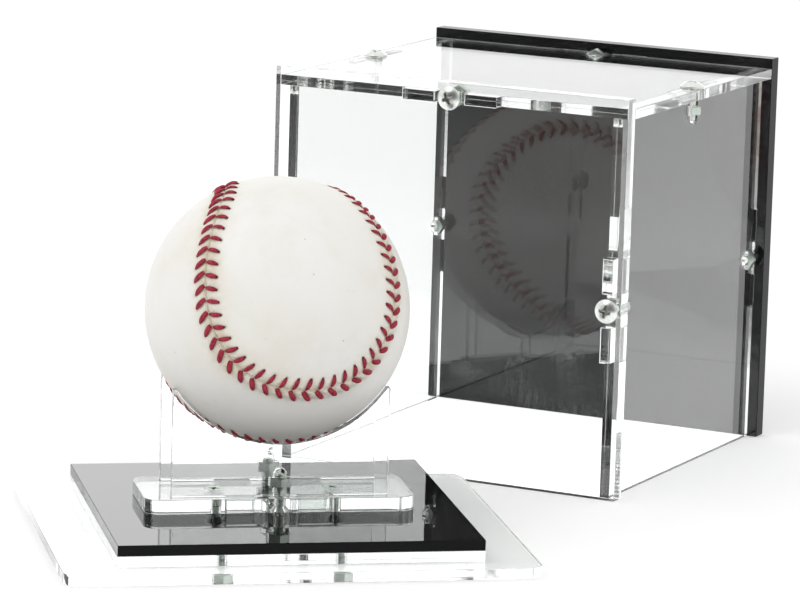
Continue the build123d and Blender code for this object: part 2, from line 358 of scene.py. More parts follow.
def thread_material(name, colour):
    """Waxed cotton thread: plies across the thread, slightly uneven red, with painted shade where it goes
    into its hole.
    """
    tree, where = shader_tree(name)
    along = tree.attribute("along_thread")
    plies = tree.math("SINE", tree.times(along, 30.0))
    fibre = tree.noise(where, 5200.0, 3.0, 0.7)
    blotch = tree.noise(where, 1300.0, 2.0, 0.5)
    share = tree.range(tree.plus(tree.times(fibre, 0.5), tree.times(blotch, 0.7)), 0.42, 0.8)
    base = tree.mix(share, shade(colour, 0.55), shade([min(1, c * 1.3 + 0.035) for c in colour]))
    # Painted shade: the thread's last stretch is darkened where it goes into its hole.
    base = tree.mix(tree.range(along, 0.8, 1.0, 0.0, 0.9), base, (0.03, 0.004, 0.012, 1))
    normal = tree.bump(tree.plus(tree.times(plies, 0.4), fibre), 0.5, 0.08 * MM)
    return tree.finish(tree.principled(base, 0.65, Specular_IOR_Level=0.18, Normal=normal))


def yarn_material(name):
    """Wound wool yarn: crossing strands in two greys."""
    tree, where = shader_tree(name)
    strands = tree.add(
        "ShaderNodeTexWave", Vector=where, Scale=320.0, Distortion=14.0, Detail=3.0, Detail_Scale=0.6,
        out="Fac")
    crossing = tree.add(
        "ShaderNodeTexWave", Vector=where, Scale=260.0, Distortion=18.0, Detail=3.0, bands_direction="Z",
        out="Fac")
    share = tree.times(tree.plus(strands, crossing), 0.5)
    base = tree.ramp(share, (0.2, (0.30, 0.28, 0.24)), (0.8, (0.78, 0.75, 0.68)))
    return tree.finish(tree.principled(base, 0.9, Normal=tree.bump(share, 0.8, 0.4 * MM)))


def core_material(name):
    """Moulded core: dark rubber with a cork fleck."""
    tree, where = shader_tree(name)
    fleck = tree.cells(where, 700.0)
    base = tree.ramp(fleck, (0.1, (0.22, 0.12, 0.07)), (0.45, (0.035, 0.03, 0.03)))
    rough = tree.range(fleck, 0, 0.5, 0.8, 0.5)
    return tree.finish(tree.principled(base, rough, Normal=tree.bump(fleck, 0.4, 0.2 * MM)))


def floor_material(name, colour):
    """A pale floor that keeps shadows, near white in gloss and through glass, and dim where it mirrors."""
    tree, where = shader_tree(name)
    path = tree.nodes.new("ShaderNodeLightPath").outputs
    paper = tree.noise(where, 300.0)
    base = tree.mix(tree.range(paper, 0.3, 0.7), shade(colour, 0.99), shade(colour))
    lit = tree.add("ShaderNodeBsdfDiffuse", Color=base)
    passing = path["Is Transmission Ray"]
    away = tree.add("ShaderNodeVectorMath", where, GLOW_CENTRE, operation="DISTANCE", out="Value")
    through = tree.times(passing, tree.range(away, GLOW_NEAR, GLOW_FAR, 0.75, 0.45))
    gloss = tree.times(tree.math("SUBTRACT", path["Is Glossy Ray"], passing), 0.5)
    strength = tree.most(tree.most(tree.times(path["Is Camera Ray"], 0.2), gloss), through)
    pale = tree.add("ShaderNodeAddShader", lit, tree.add("ShaderNodeEmission", Strength=strength))
    dim = tree.add("ShaderNodeEmission", Strength=0.35)
    mirrored = tree.math("MINIMUM", path["Glossy Depth"], 1.0)
    share = tree.times(mirrored, tree.range(tree.dot(where, FRONT_SIDE), 0.12, 0.38))
    return tree.finish(tree.add("ShaderNodeMixShader", share, pale, dim))


def link(name, data):
    """An object of the scene for a mesh, camera or lamp."""
    piece = bpy.data.objects.new(name, data)
    bpy.context.scene.collection.objects.link(piece)
    return piece


def mesh_from(name, verts, faces, smooth=False):
    mesh = bpy.data.meshes.new(name)
    mesh.from_pydata([tuple(v) for v in verts], [], faces)
    if smooth:
        mesh.shade_smooth()
    return mesh


def store(mesh, name, values, kind="FLOAT"):
    """Keep a number or a vector for each corner of a mesh."""
    key = "vector" if kind == "FLOAT_VECTOR" else "value"
    flat = np.array(values, np.float32).ravel()
    mesh.attributes.new(name, kind, "POINT").data.foreach_set(key, flat)


def finish_of(name, maker, *values):
    """A finish by name, made the first time it is asked for."""
    return bpy.data.materials.get(name) or maker(name, *values)


def declare(piece, body, slot, *nodes):
    """Attach a piece to the body it rides and hide the solids it stands for; the slot is not used."""
    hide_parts(*nodes)
    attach(piece, body)


def merged_copy(node):
    """The shape of a node's solids, with their loose triangles joined."""
    shape = bmesh.new()
    shape.from_mesh(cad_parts[node].data)
    bmesh.ops.remove_doubles(shape, verts=shape.verts, dist=1e-6)
    return shape


def touching_groups(members, beside):
    """The members in groups that touch, by a function that lists what lies beside one."""
    left, groups = dict.fromkeys(members), []
    while left:
        group = [next(iter(left))]
        del left[group[0]]
        for one in group:
            for other in beside(one):
                if other in left:
                    del left[other]
                    group.append(other)
        groups.append(group)
    return groups


def outline_edges(shape, smallest=8 * MM):
    """A sheet's sharp edges, without those of its small round holes."""
    sharp = [e for e in shape.edges if len(e.link_faces) == 2 and e.calc_face_angle(0) > math.radians(40)]
    kept = []
    for group in touching_groups(sharp, lambda e: [other for v in e.verts for other in v.link_edges]):
        spots = np.array([v.co for e in group for v in e.verts])
        if np.ptp(spots, axis=0).max() > smallest:
            kept += group
    return kept


def dress_sheet(node, body, slot, through, face_finish, edge_finish):
    """A copy of a sheet's solid with broken edges; its cut edges take their own finish."""
    shape = merged_copy(node)
    bmesh.ops.dissolve_limit(
        shape, angle_limit=math.radians(0.5), verts=shape.verts, edges=shape.edges)
    bmesh.ops.bevel(
        shape, geom=outline_edges(shape), offset=sizes().edge_break, offset_type="OFFSET", segments=2,
        profile=0.5, affect="EDGES", clamp_overlap=False)
    bmesh.ops.triangulate(shape, faces=[f for f in shape.faces if len(f.verts) > 4])
    for face in shape.faces:
        face.normal_update()
        face.material_index = 0 if abs(face.normal.dot(through)) > 0.95 else 1
    mesh = bpy.data.meshes.new(node + "_sheet")
    shape.to_mesh(mesh)
    shape.free()
    if "custom_normal" in mesh.attributes:
        mesh.attributes.remove(mesh.attributes["custom_normal"])
    mesh.set_sharp_from_angle(angle=math.radians(15))
    spots, out = np.array([v.co for v in mesh.vertices]), np.array(through)
    store(mesh, "in_sheet", spots - np.outer(spots @ out, out), "FLOAT_VECTOR")
    mesh.materials.append(face_finish)
    mesh.materials.append(edge_finish)
    declare(link(node + "_sheet", mesh), body, slot, node)


def solids(node):
    """The corners of each separate solid of a node."""
    shape = merged_copy(node)
    groups = touching_groups(shape.verts, lambda v: [e.other_vert(v) for e in v.link_edges])
    found = [np.array([v.co[:] for v in group]) for group in groups]
    shape.free()
    return found


def solid_place(corners, outward):
    """The middle of a solid across a direction, at its furthest point along it, and its length that way."""
    out = np.array(outward)
    depth = corners @ out
    side = np.array(outward.orthogonal().normalized())
    other = np.cross(out, side)
    middle = sum(axis * ((corners @ axis).min() + (corners @ axis).max()) / 2 for axis in (side, other))
    return Vector(middle + out * depth.max()), depth.max() - depth.min()


def flat_direction(corners, outward):
    """The direction in which two flats of a nut face, from where it is narrowest."""
    side = outward.orthogonal().normalized()
    other = outward.cross(side)
    best, least = None, math.inf
    for step in range(60):
        angle = math.pi / 60 * step
        way = side * math.cos(angle) + other * math.sin(angle)
        width = np.ptp(corners @ np.array(way))
        if width < least - 0.001 * MM:
            best, least = way, width
    return best


def outward_normals(mesh):
    shape = bmesh.new()
    shape.from_mesh(mesh)
    bmesh.ops.remove_doubles(shape, verts=shape.verts, dist=1e-8)
    bmesh.ops.recalc_face_normals(shape, faces=shape.faces)
    shape.to_mesh(mesh)
    shape.free()


def turned(name, rings, sides, capped=True, centre=None):
    """A turned solid from rings, each a radius and a height as numbers or functions of the angle.

    A centre is the height at which the first ring's lid comes to a point in the middle.
    """
    verts, faces = [], []
    for radius, height in rings:
        for step in range(sides):
            angle = 2 * math.pi * step / sides
            r = radius(angle) if callable(radius) else radius
            z = height(angle) if callable(height) else height
            verts.append((r * math.cos(angle), r * math.sin(angle), z))
    for start in range(0, len(verts) - sides, sides):
        for step in range(sides):
            a, b = start + step, start + (step + 1) % sides
            faces.append((a, b, b + sides, a + sides))
    if capped:
        faces.append(tuple(range(len(verts) - sides, len(verts))))
    if centre is not None:
        faces += [(len(verts), (step + 1) % sides, step) for step in range(sides)]
        verts.append((0, 0, centre))
    elif capped:
        faces.append(tuple(reversed(range(sides))))
    mesh = mesh_from(name, verts, faces)
    outward_normals(mesh)
    return mesh


def shank_mesh(length, top):
    """A threaded shank from its chamfered tip up to a height."""
    chamfer, tip = 0.4 * MM, 0.6 * MM
    rings = [(tip, -length), (THREAD_RADIUS - chamfer, -length)]
    steps = int(round((length - tip) / THREAD_PITCH * 4))
    for step in range(steps + 1):
        height = -length + chamfer + step * THREAD_PITCH / 4
        if height >= top - 0.1 * MM:
            break

        def radius(angle, height=height):
            phase = (height / THREAD_PITCH - angle / (2 * math.pi)) % 1
            return THREAD_RADIUS - THREAD_DEPTH * abs(2 * phase - 1)

        rings.append((radius, height))
    return turned("shank", [*rings, (THREAD_RADIUS, top)], SHANK_SIDES)


def within(value):
    return min(1.0, max(0.0, value))


def cross_recess(x, y, half_width, half_length):
    """How deep a crossed recess is at a place on the head, from 0 to 1."""
    deep = within((0.55 * half_length - math.hypot(x, y)) / (0.4 * MM))
    for along, across in ((x, y), (y, x)):
        arm = min((half_width - abs(across)) / (0.12 * MM), (half_length - abs(along)) / (0.35 * MM))
        deep = max(deep, within(arm))
    return deep


def head_mesh(name, radius, height_at, rim, recess):
    """A head of rings: its height comes from a function of the radius, less the recess."""
    half_width, half_length, depth = recess

    def height_on(r):
        def height(angle):
            crossed = cross_recess(r * math.cos(angle), r * math.sin(angle), half_width, half_length)
            return height_at(r) - max(0.0, depth * crossed * (1 - 0.55 * r / half_length))

        return height

    reaches = [radius * ring / HEAD_RINGS for ring in range(1, HEAD_RINGS + 1)]
    top = [(r, height_on(r)) for r in reaches]
    return turned(name, top + rim, HEAD_SIDES, centre=height_at(0) - depth)


def screw_mesh(name, head, shank, height_at, recess, lowest):
    """Head and shank as one mesh, which stores what lies in the recess, where the finish paints shade."""
    shape = bmesh.new()
    for part in (head, shank):
        shape.from_mesh(part)
        bpy.data.meshes.remove(part)
    mesh = bpy.data.meshes.new(name)
    shape.to_mesh(mesh)
    shape.free()
    shares = []
    for corner in mesh.vertices:
        x, y, z = corner.co
        r = math.hypot(x, y)
        inside = r < recess[1] + 0.05 * MM and z > lowest
        shares.append(within((height_at(r) - z) / (0.3 * MM)) if inside else 0.0)
    store(mesh, "recess", shares)
    return mesh


def dome_bolt_mesh(length):
    """A domed head with a crossed recess on a threaded shank; the head's underside is at z = 0."""
    bulge = (DOME_RISE**2 + DOME_RADIUS**2) / (2 * DOME_RISE)

    def dome(r):
        return DOME_RIM + DOME_RISE - bulge + math.sqrt(bulge**2 - r**2)

    rim = [(DOME_RADIUS, 0.08 * MM), (DOME_RADIUS - 0.08 * MM, 0)]
    head = head_mesh("dome_head", DOME_RADIUS, dome, rim, DOME_RECESS)
    return screw_mesh("dome_bolt", head, shank_mesh(length, 0), dome, DOME_RECESS, 0.2 * MM)


def countersunk_mesh(length):
    """A flat head with a crossed recess on a threaded shank; the head's face is at z = 0."""

    def flat(r):
        return 0.0

    rim = [(FLAT_RADIUS, -0.06 * MM), (THREAD_RADIUS, THREAD_RADIUS - FLAT_RADIUS)]
    head = head_mesh("flat_head", FLAT_RADIUS, flat, rim, FLAT_RECESS)
    shank = shank_mesh(length, -FLAT_HEAD)
    return screw_mesh("countersunk_screw", head, shank, flat, FLAT_RECESS, 0.1 * MM - FLAT_HEAD)


def nut_mesh(width=5.5 * MM, thickness=2.4 * MM, bore=3.06 * MM):
    """A hex nut with chamfered corners and a chamfered bore, from z = 0 down; two flats face along X."""
    flat = width / 2 * 0.96

    def corner(angle):
        return width / 2 / math.cos((angle + math.pi / 6) % (math.pi / 3) - math.pi / 6)

    def lower(angle):
        return -thickness + (corner(angle) - flat) * 0.5

    def upper(angle):
        return -(corner(angle) - flat) * 0.5

    hole, lead = bore / 2, 0.18 * MM
    rings = [
        (hole, -thickness + lead), (hole + lead, -thickness), (flat, -thickness), (corner, lower),
        (corner, upper), (flat, 0.0), (hole + lead, 0.0), (hole, -lead), (hole, -thickness + lead)]
    return turned("nut", rings, NUT_SIDES, capped=False)


def nodes_tree(name, *inputs):
    """A geometry nodes tree with the named inputs, its maker and its inputs' sockets."""
    tree = bpy.data.node_groups.new(name, "GeometryNodeTree")
    tree.interface.new_socket("Geometry", in_out="OUTPUT", socket_type="NodeSocketGeometry")
    shared = (("Seed", "Int", 1), ("Finish", "Material", None))
    for key, kind, default in (("Geometry", "Geometry", None), *inputs, *shared):
        socket = tree.interface.new_socket(key, in_out="INPUT", socket_type="NodeSocket" + kind)
        if default is not None:
            socket.default_value = default
    made = Tree(tree)
    return tree, made, made.nodes.new("NodeGroupInput").outputs


def facing_turn(made):
    """The turn that brings Z to each point's facing direction and X towards its direction along."""
    facing, along = (
        made.add("GeometryNodeInputNamedAttribute", Name=name, data_type="FLOAT_VECTOR")
        for name in ("facing", "along"))
    upright = made.add("FunctionNodeAlignRotationToVector", Vector=facing, axis="Z")
    return made.add(
        "FunctionNodeAlignRotationToVector", Rotation=upright, Vector=along, axis="X", pivot_axis="Z")


def random_value(made, kind, low, high, seed):
    """A random number or vector for each point, between two others."""
    spread = made.nodes.new("FunctionNodeRandomValue")
    spread.data_type = {"VALUE": "FLOAT", "VECTOR": "FLOAT_VECTOR"}[kind]
    sockets = [s for s in spread.inputs if s.type == kind]
    made.put(sockets[0], low)
    made.put(sockets[1], high)
    made.put(spread.inputs["Seed"], seed)
    return [s for s in spread.outputs if s.type == kind][0]


def lay_copies(made, given, pattern, turn, scale):
    """The end of a tree: the pattern on every point, as plain geometry with the given finish."""
    copies = made.add(
        "GeometryNodeInstanceOnPoints", Points=given["Geometry"], Instance=pattern, Rotation=turn,
        Scale=scale)
    whole = made.add("GeometryNodeRealizeInstances", copies)
    dressed = made.add("GeometryNodeSetMaterial", Geometry=whole, Material=given["Finish"])
    made.put(made.nodes.new("NodeGroupOutput").inputs[0], dressed)


def setting_out_tree():
    """Geometry nodes that set a pattern piece out on points, each turned to its own direction."""
    tree, made, given = nodes_tree(
        "Set out on points", ("Pattern", "Object", None), ("Size", "Float", 1.0),
        ("Turn spread", "Float", 0.0))
    spread = given["Turn spread"]
    angle = random_value(made, "VALUE", made.times(spread, -1.0), spread, given["Seed"])
    spin = made.add("FunctionNodeAxisAngleToRotation", (0, 0, 1), angle)
    turn = made.add("FunctionNodeRotateRotation", facing_turn(made), spin, rotation_space="LOCAL")
    pattern = made.add("GeometryNodeObjectInfo", given["Pattern"], out="Geometry")
    lay_copies(made, given, pattern, turn, given["Size"])
    return tree


def grown(name, source, tree, values):
    """The result of a geometry nodes tree on a mesh, as a plain mesh piece."""
    holder = link(name + "_source", source)
    modifier = holder.modifiers.new("nodes", "NODES")
    modifier.node_group = tree
    names = {s.name: s.identifier for s in tree.interface.items_tree if s.in_out == "INPUT"}
    for key, value in values.items():
        modifier[names[key]] = value
    bpy.context.view_layer.update()
    ready = holder.evaluated_get(bpy.context.evaluated_depsgraph_get())
    mesh = bpy.data.meshes.new_from_object(ready)
    mesh.name = name
    bpy.data.objects.remove(holder)
    return link(name, mesh)


def points_mesh(name, places):
    """A mesh of points, each with the direction it faces and the direction its pattern's X takes."""
    spots, facing, along = zip(*places)
    mesh = mesh_from(name, spots, [])
    store(mesh, "facing", facing, "FLOAT_VECTOR")
    store(mesh, "along", along, "FLOAT_VECTOR")
    return mesh


def set_out(name, body, pattern, places, finish, spread, seed, node):
    """Like fasteners as one piece that stands for their node."""
    tree = bpy.data.node_groups.get("Set out on points") or setting_out_tree()
    shape = link(name + "_pattern", pattern)
    piece = grown(name, points_mesh(name + "_points", places), tree, {
        "Pattern": shape, "Size": 1.0, "Turn spread": spread, "Seed": seed, "Finish": finish})
    bpy.data.objects.remove(shape)
    piece.data.shade_smooth()
    piece.data.set_sharp_from_angle(angle=math.radians(32))
    declare(piece, body, "zinc_steel", node)


def colours():
    return bpy.context.scene.case_colours


def sizes():
    return bpy.context.scene.case_sizes


def zinc_finish(dull=True):
    name, colour = ("Dull zinc", colours().dull_zinc) if dull else ("Bright zinc", colours().zinc)
    return finish_of(name, zinc_material, tuple(colour))


def dress_sheets(slot, label, maker, colour):
    """Dress every sheet of a slot with the finishes of its faces and of its cut edges."""
    face = finish_of(f"{label} face", maker, tuple(colour))
    edge = finish_of(f"{label} cut edge", maker, tuple(colour), True)
    for node, (body, through) in SHEETS[slot].items():
        dress_sheet(node, body, slot, through, face, edge)


class CASE_OT_clear_sheets(bpy.types.Operator):
    """Give the clear sheets broken edges and the clear acrylic finish"""

    bl_idname = "case.clear_sheets"
    bl_label = "Clear sheets"

    def execute(self, context):
        dress_sheets("clear_acrylic", "Clear acrylic", clear_material, colours().clear_tint)
        return {"FINISHED"}


class CASE_OT_black_sheets(bpy.types.Operator):
    """Give the black plinth plate and the cover's back panel broken edges and a gloss finish"""

    bl_idname = "case.black_sheets"
    bl_label = "Black sheets"

    def execute(self, context):
        dress_sheets("black_acrylic", "Black acrylic", black_material, colours().black_sheet)
        return {"FINISHED"}


class CASE_OT_dome_bolts(bpy.types.Operator):
    """Set out the cover's domed bolts with crossed recesses and threads"""

    bl_idname = "case.dome_bolts"
    bl_label = "Dome bolts"

    def execute(self, context):
        head = DOME_RISE + DOME_RIM
        for seed, (name, outward) in enumerate(COVER_JOINTS.items(), start=11):
            node = f"{name}_joint_bolts"
            found = [solid_place(s, outward) for s in solids(node)]
            length = round((found[0][1] - head) / MM) * MM
            side = COVER_ACROSS if name == "top" else outward.cross(UP)
            places = [(top - outward * head, outward, side) for top, _ in found]
            bolt = dome_bolt_mesh(length)
            set_out(f"{name}_bolts", "cover", bolt, places, zinc_finish(False), 0.7, seed, node)
        return {"FINISHED"}


class CASE_OT_countersunk_screws(bpy.types.Operator):
    """Set out the base's countersunk screws and the cradle's bolts"""

    bl_idname = "case.countersunk_screws"
    bl_label = "Countersunk screws"

    def execute(self, context):
        for name, outward in (("base_screws", UP), ("cradle_bolts", -UP)):
            found = [solid_place(s, outward) for s in solids(name)]
            length = round(found[0][1] / MM) * MM
            places = [(top, outward, SIDEWAYS) for top, _ in found]
            set_out(f"{name}_cut", "base", countersunk_mesh(length), places, zinc_finish(), 0.7, 23, name)
        return {"FINISHED"}


class CASE_OT_nuts(bpy.types.Operator):
    """Set out the hex nuts of the base and of the cover"""

    bl_idname = "case.nuts"
    bl_label = "Hex nuts"

    def execute(self, context):
        groups = [("base_nuts", "base", UP, SIDEWAYS), ("cradle_nuts", "base", UP, SIDEWAYS)]
        for name, outward in COVER_JOINTS.items():
            groups.append((f"{name}_joint_nuts", "cover", outward, None))
        for node, body, outward, along in groups:
            places = []
            for corners in solids(node):
                top, _ = solid_place(corners, outward)
                places.append((top, outward, along or flat_direction(corners, outward)))
            set_out(f"{node}_hex", body, nut_mesh(), places, zinc_finish(), 0.0, 5, node)
        return {"FINISHED"}


def turn_by(turns):
    """Turns about the axes, one after another, as one."""
    turn = Matrix.Identity(3)
    for axis, angle in turns:
        turn = turn @ Matrix.Rotation(angle, 3, axis)
    return turn


def unit(rows):
    """Rows of coordinates, each brought to a length of one."""
    return rows / np.linalg.norm(rows, axis=1)[:, None]


def ball_centre():
    low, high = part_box("ball_core")
    return (low + high) / 2


def ball_radius():
    boxes = [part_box("ball_cover_a"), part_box("ball_cover_b")]
    return (max(high.z for _, high in boxes) - min(low.z for low, _ in boxes)) / 2


def seam_line(count):
    """Evenly spaced points of the seam about the ball's centre, the tangent there, and the seam's length."""
    radius = ball_radius()
    t = np.linspace(0, 4 * math.pi, 20001)
    height = math.pi / 2 - SEAM_SWING * np.cos(t) - SEAM_SWING_THIRD * np.cos(3 * t)
    round_about = t / 2 + SEAM_SWAY * np.sin(2 * t)
    line = radius * np.stack([
        np.sin(height) * np.cos(round_about), np.sin(height) * np.sin(round_about), np.cos(height)], 1)
    line = line @ np.array(turn_by(SEAM_TURNS)).T
    steps = np.concatenate([[0], np.cumsum(np.linalg.norm(np.diff(line, axis=0), axis=1))])
    wanted = np.linspace(0, steps[-1], count, endpoint=False)
    even = np.stack([np.interp(wanted, steps, line[:, i]) for i in range(3)], 1)
    even *= radius / np.linalg.norm(even, axis=1)[:, None]
    return even, unit(np.roll(even, -1, 0) - np.roll(even, 1, 0)), steps[-1]


def beside_seam(spots):
    """How far places on the ball lie off the seam, signed by side, and along it, and the seam's length."""
    even, tangent, length = seam_line(SEAM_STEPS)
    tree = kdtree.KDTree(SEAM_STEPS)
    for place, point in enumerate(even):
        tree.insert(point, place)
    tree.balance()
    near = np.array([tree.find(p)[1] for p in spots])
    offset = spots - even[near]
    across = np.cross(unit(even[near]), tangent[near])
    sideways = np.einsum("ij,ij->i", offset, across)
    along = near * length / SEAM_STEPS + np.einsum("ij,ij->i", offset, tangent[near])
    total = np.linalg.norm(offset, axis=1)
    return np.where(total > 3 * MM, np.sign(sideways) * total, sideways), along, length


def hump(distance, width):
    """A smooth hump: 1 at no distance, fading over a width."""
    return np.exp(-((distance / width) ** 2))


def leather_height(away, along, length):
    """How far the leather stands off the ball's round near the seam, its share of hole, and hollow_shade:
    painted shade where stitches pull it down.
    """
    size = sizes()
    pitch = length / size.stitch_count
    phase = (along / pitch - size.stitch_start) % 1
    hole, pulled = np.zeros_like(away), np.zeros_like(away)
    for side, reach, slant, share in (
            (STRAIGHT_SIDE, size.straight_reach, size.straight_slant, 1.0),
            (-STRAIGHT_SIDE, size.slanted_reach, size.slanted_slant, 0.5)):
        here = away * side > 0
        gap = (phase - slant / pitch + 0.5) % 1 - 0.5
        from_hole = np.hypot(away * side - reach + 0.1 * MM, gap * pitch)
        hole = np.where(here, share * hump(from_hole, HOLE_WIDTH), hole)
        leg_phase = phase - slant / pitch * np.clip(np.abs(away) / reach, 0, 1)
        pulled = np.where(here, 0.5 + 0.5 * np.cos(2 * math.pi * leg_phase), pulled)
    fading = hump(np.maximum(np.abs(away) - RIPPLE_REACH, 0), RIPPLE_FADE)
    groove = size.groove_depth * hump(away, GROOVE_WIDTH)
    lip = size.lip_height * hump(np.abs(away) - LIP_PLACE, LIP_WIDTH) * (1 - size.pinch * pulled)
    ripple = RIPPLE_DEPTH * pulled * fading
    # The third value masks painted shade where the stitches pull the leather down.
    return lip - groove - ripple - HOLE_DEPTH * hole, hole, fading * pulled**3


def ball_round(radius):
    """The corners and triangles of a round ball, finer along the seam."""
    shape = bmesh.new()
    bmesh.ops.create_icosphere(shape, subdivisions=6, radius=radius)
    away, _, _ = beside_seam(np.array([v.co for v in shape.verts]))
    shape.verts.ensure_lookup_table()
    close = [e for e in shape.edges if min(abs(away[v.index]) for v in e.verts) < FINE_REACH]
    bmesh.ops.subdivide_edges(shape, edges=close, cuts=3, use_grid_fill=True)
    bmesh.ops.triangulate(shape, faces=[f for f in shape.faces if len(f.verts) > 3])
    for corner in shape.verts:
        corner.co = corner.co.normalized() * radius
    mesh = bpy.data.meshes.new("ball_round")
    shape.to_mesh(mesh)
    shape.free()
    spots = np.array([v.co for v in mesh.vertices])
    triangles = np.array([p.vertices[:] for p in mesh.polygons])
    bpy.data.meshes.remove(mesh)
    return spots, triangles


class CASE_OT_ball_leather(bpy.types.Operator):
    """Shape the ball's two leather covers, with the groove, the lips and the thread holes of the seam"""

    bl_idname = "case.ball_leather"
    bl_label = "Ball leather"

    def execute(self, context):
        radius = ball_radius()
        spots, triangles = ball_round(radius)
        away, along, length = beside_seam(spots)
        snapped = np.abs(away) < SNAP_REACH
        near = np.round(along[snapped] / length * SEAM_STEPS).astype(int) % SEAM_STEPS
        spots[snapped] = seam_line(SEAM_STEPS)[0][near]
        away[snapped] = 0
        rise, hole, hollow_shade = leather_height(away, along, length)
        placed = unit(spots) * (radius + rise)[:, None] + np.array(ball_centre())
        kept = {"hole": hole, "hollow_shade": hollow_shade, "near_seam": hump(away, DIRT_AND_SHADE_REACH)}
        finish = finish_of("Ball leather", leather_material, tuple(colours().leather))
        side = away[triangles].sum(1)
        for name, chosen in (("a", side > 0), ("b", side <= 0)):
            used, numbers = np.unique(triangles[chosen], return_inverse=True)
            mesh = mesh_from(f"ball_leather_{name}", placed[used], numbers.reshape(-1, 3).tolist(), True)
            for key, values in kept.items():
                store(mesh, key, values[used])
            mesh.materials.append(finish)
            declare(link(f"ball_leather_{name}", mesh), "ball", "ball_leather", f"ball_cover_{name}")
        return {"FINISHED"}


def stitch_tree():
    """Geometry nodes that lay a pair of thread legs at every point of the seam."""
    lengths = (
        "Straight reach", "Straight slant", "Slanted reach", "Slanted slant", "Thread width", "Rise", "Sink")
    tree, made, given = nodes_tree(
        "Seam stitches", *((name, "Float", MM) for name in lengths), ("Unevenness", "Float", 0.06))

    def place(*values):
        return made.add("ShaderNodeCombineXYZ", *values)

    def leg(side, reach, slant, ahead, darkening, profile):
        """A swept flat thread from the seam, ahead of or behind the pair's place, out to its hole."""
        far = made.times(reach, float(side))
        start = place(ahead, 0.25 * MM * side, made.times(given["Rise"], 0.1))
        middle = place(
            made.times(made.plus(slant, ahead), 0.5), made.times(far, 0.5), made.times(given["Rise"], 1.9))
        end = place(slant, far, made.times(given["Sink"], -1.0))
        line = made.add("GeometryNodeCurveQuadraticBezier", 6, start, middle, end)
        share = made.add("GeometryNodeSplineParameter", out="Factor")
        swelling = made.nodes.new("ShaderNodeFloatCurve")
        points = swelling.mapping.curves[0].points
        points[0].location, points[1].location = profile[0], profile[-1]
        for stop in profile[1:-1]:
            points.new(*stop)
        swelling.mapping.update()
        made.put(swelling.inputs["Value"], share)
        # along_thread also sets how far the painted shade at the hole end reaches; darkening scales it for
        # each leg.
        line = made.add(
            "GeometryNodeStoreNamedAttribute", Geometry=line, Name="along_thread",
            Value=made.times(share, darkening), data_type="FLOAT", domain="POINT")
        width = made.times(made.times(swelling.outputs[0], given["Thread width"]), 0.5)
        ring = made.add("GeometryNodeCurvePrimitiveCircle", Resolution=6, Radius=1.0)
        flat = made.add("GeometryNodeTransform", Geometry=ring, Scale=(1.0, 0.45, 1.0))
        return made.add(
            "GeometryNodeCurveToMesh", Curve=line, Profile_Curve=flat, Fill_Caps=True, Scale=width)

    both = made.nodes.new("GeometryNodeJoinGeometry")
    made.put(both.inputs[0], leg(
        STRAIGHT_SIDE, given["Straight reach"], given["Straight slant"], 0.25 * MM, 1.0,
        ((0.0, 0.45), (0.25, 0.72), (0.65, 0.82), (1.0, 0.35))))
    made.put(both.inputs[0], leg(
        -STRAIGHT_SIDE, given["Slanted reach"], given["Slanted slant"], -0.45 * MM, 0.88,
        ((0.0, 0.8), (0.2, 1.0), (0.6, 1.0), (1.0, 0.4))))
    low = made.math("SUBTRACT", 1.0, given["Unevenness"])
    high = made.plus(1.0, given["Unevenness"])
    scale = random_value(made, "VECTOR", place(low, low, low), place(high, high, high), given["Seed"])
    lay_copies(made, given, both.outputs[0], facing_turn(made), scale)
    return tree


class CASE_OT_ball_stitches(bpy.types.Operator):
    """Lay the pairs of red stitches along the ball's seam"""

    bl_idname = "case.ball_stitches"
    bl_label = "Ball stitches"

    def execute(self, context):
        size, centre = sizes(), ball_centre()
        fine = 40
        even, tangent, _ = seam_line(size.stitch_count * fine)
        places = []
        for place in range(size.stitch_count):
            spot = (place * fine + int(size.stitch_start * fine)) % len(even)
            outward = Vector(even[spot]).normalized()
            places.append((centre + Vector(even[spot]) + outward * 0.05 * MM, outward, Vector(tangent[spot])))
        finish = finish_of("Red thread", thread_material, tuple(colours().thread))
        piece = grown("ball_stitches", points_mesh("ball_stitch_points", places), stitch_tree(), {
            "Straight reach": size.straight_reach, "Straight slant": size.straight_slant,
            "Slanted reach": size.slanted_reach, "Slanted slant": size.slanted_slant,
            "Thread width": size.thread_width, "Rise": 0.5 * MM, "Sink": 0.35 * MM,
            "Unevenness": 0.07, "Seed": 3, "Finish": finish})
        piece.data.shade_smooth()
        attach(piece, "ball")
        return {"FINISHED"}


class CASE_OT_ball_inside(bpy.types.Operator):
    """Give the ball's winding and core their finishes"""

    bl_idname = "case.ball_inside"
    bl_label = "Ball inside"

    def execute(self, context):
        for node, name, maker in (
                ("ball_winding", "Wound yarn", yarn_material), ("ball_core", "Moulded core", core_material)):
            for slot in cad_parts[node].material_slots:
                slot.material = finish_of(name, maker)
        return {"FINISHED"}


def place_camera():
    """The camera at the photograph's viewing angle."""
    data = bpy.data.cameras.new("Camera")
    camera = link("Camera", data)
    data.sensor_width = 36
    data.lens = CAMERA_FOCAL * data.sensor_width
    data.clip_start, data.clip_end = 0.05, 50
    camera.matrix_world = Matrix.Translation(CAMERA_PLACE) @ turn_by(CAMERA_TURNS).to_4x4()
    bpy.context.scene.camera = camera


def soft_lamp(name, place, target, size, power, tall=None):
    """A round soft lamp, or with a height a broad rectangular one."""
    data = bpy.data.lights.new(name, "AREA")
    data.shape, data.size, data.energy = "RECTANGLE" if tall else "DISK", size, power
    data.size_y = tall or size
    lamp = link(name, data)
    lamp.location = place
    lamp.rotation_euler = (Vector(target) - Vector(place)).to_track_quat("-Z", "Y").to_euler()


